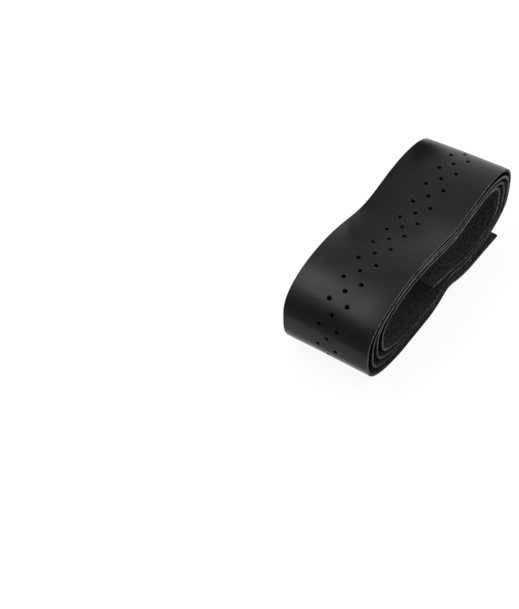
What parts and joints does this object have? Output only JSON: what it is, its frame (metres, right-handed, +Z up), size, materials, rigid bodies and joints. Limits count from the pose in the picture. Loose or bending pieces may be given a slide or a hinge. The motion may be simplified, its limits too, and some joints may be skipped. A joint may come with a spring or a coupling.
{
  "type": "roll of handlebar tape",
  "caption": "Roll of black padded, perforated bicycle handlebar tape, loosely wound and lying on its flat side, with a free outer and inner end.",
  "frame": {"origin": "middle of the roll's bounding box on the surface that it lies on", "axes": "+Z up from the surface, +X along the roll's length towards the lobe that the loose outer end lies under, +Y across the strip's width"},
  "size_m": [0.0916, 0.03, 0.0325],
  "materials": {
    "tape": "satin black foam-backed skin"
  },
  "bodies": {
    "root": {"tape_roll": "tape"}
  },
  "joints": []
}
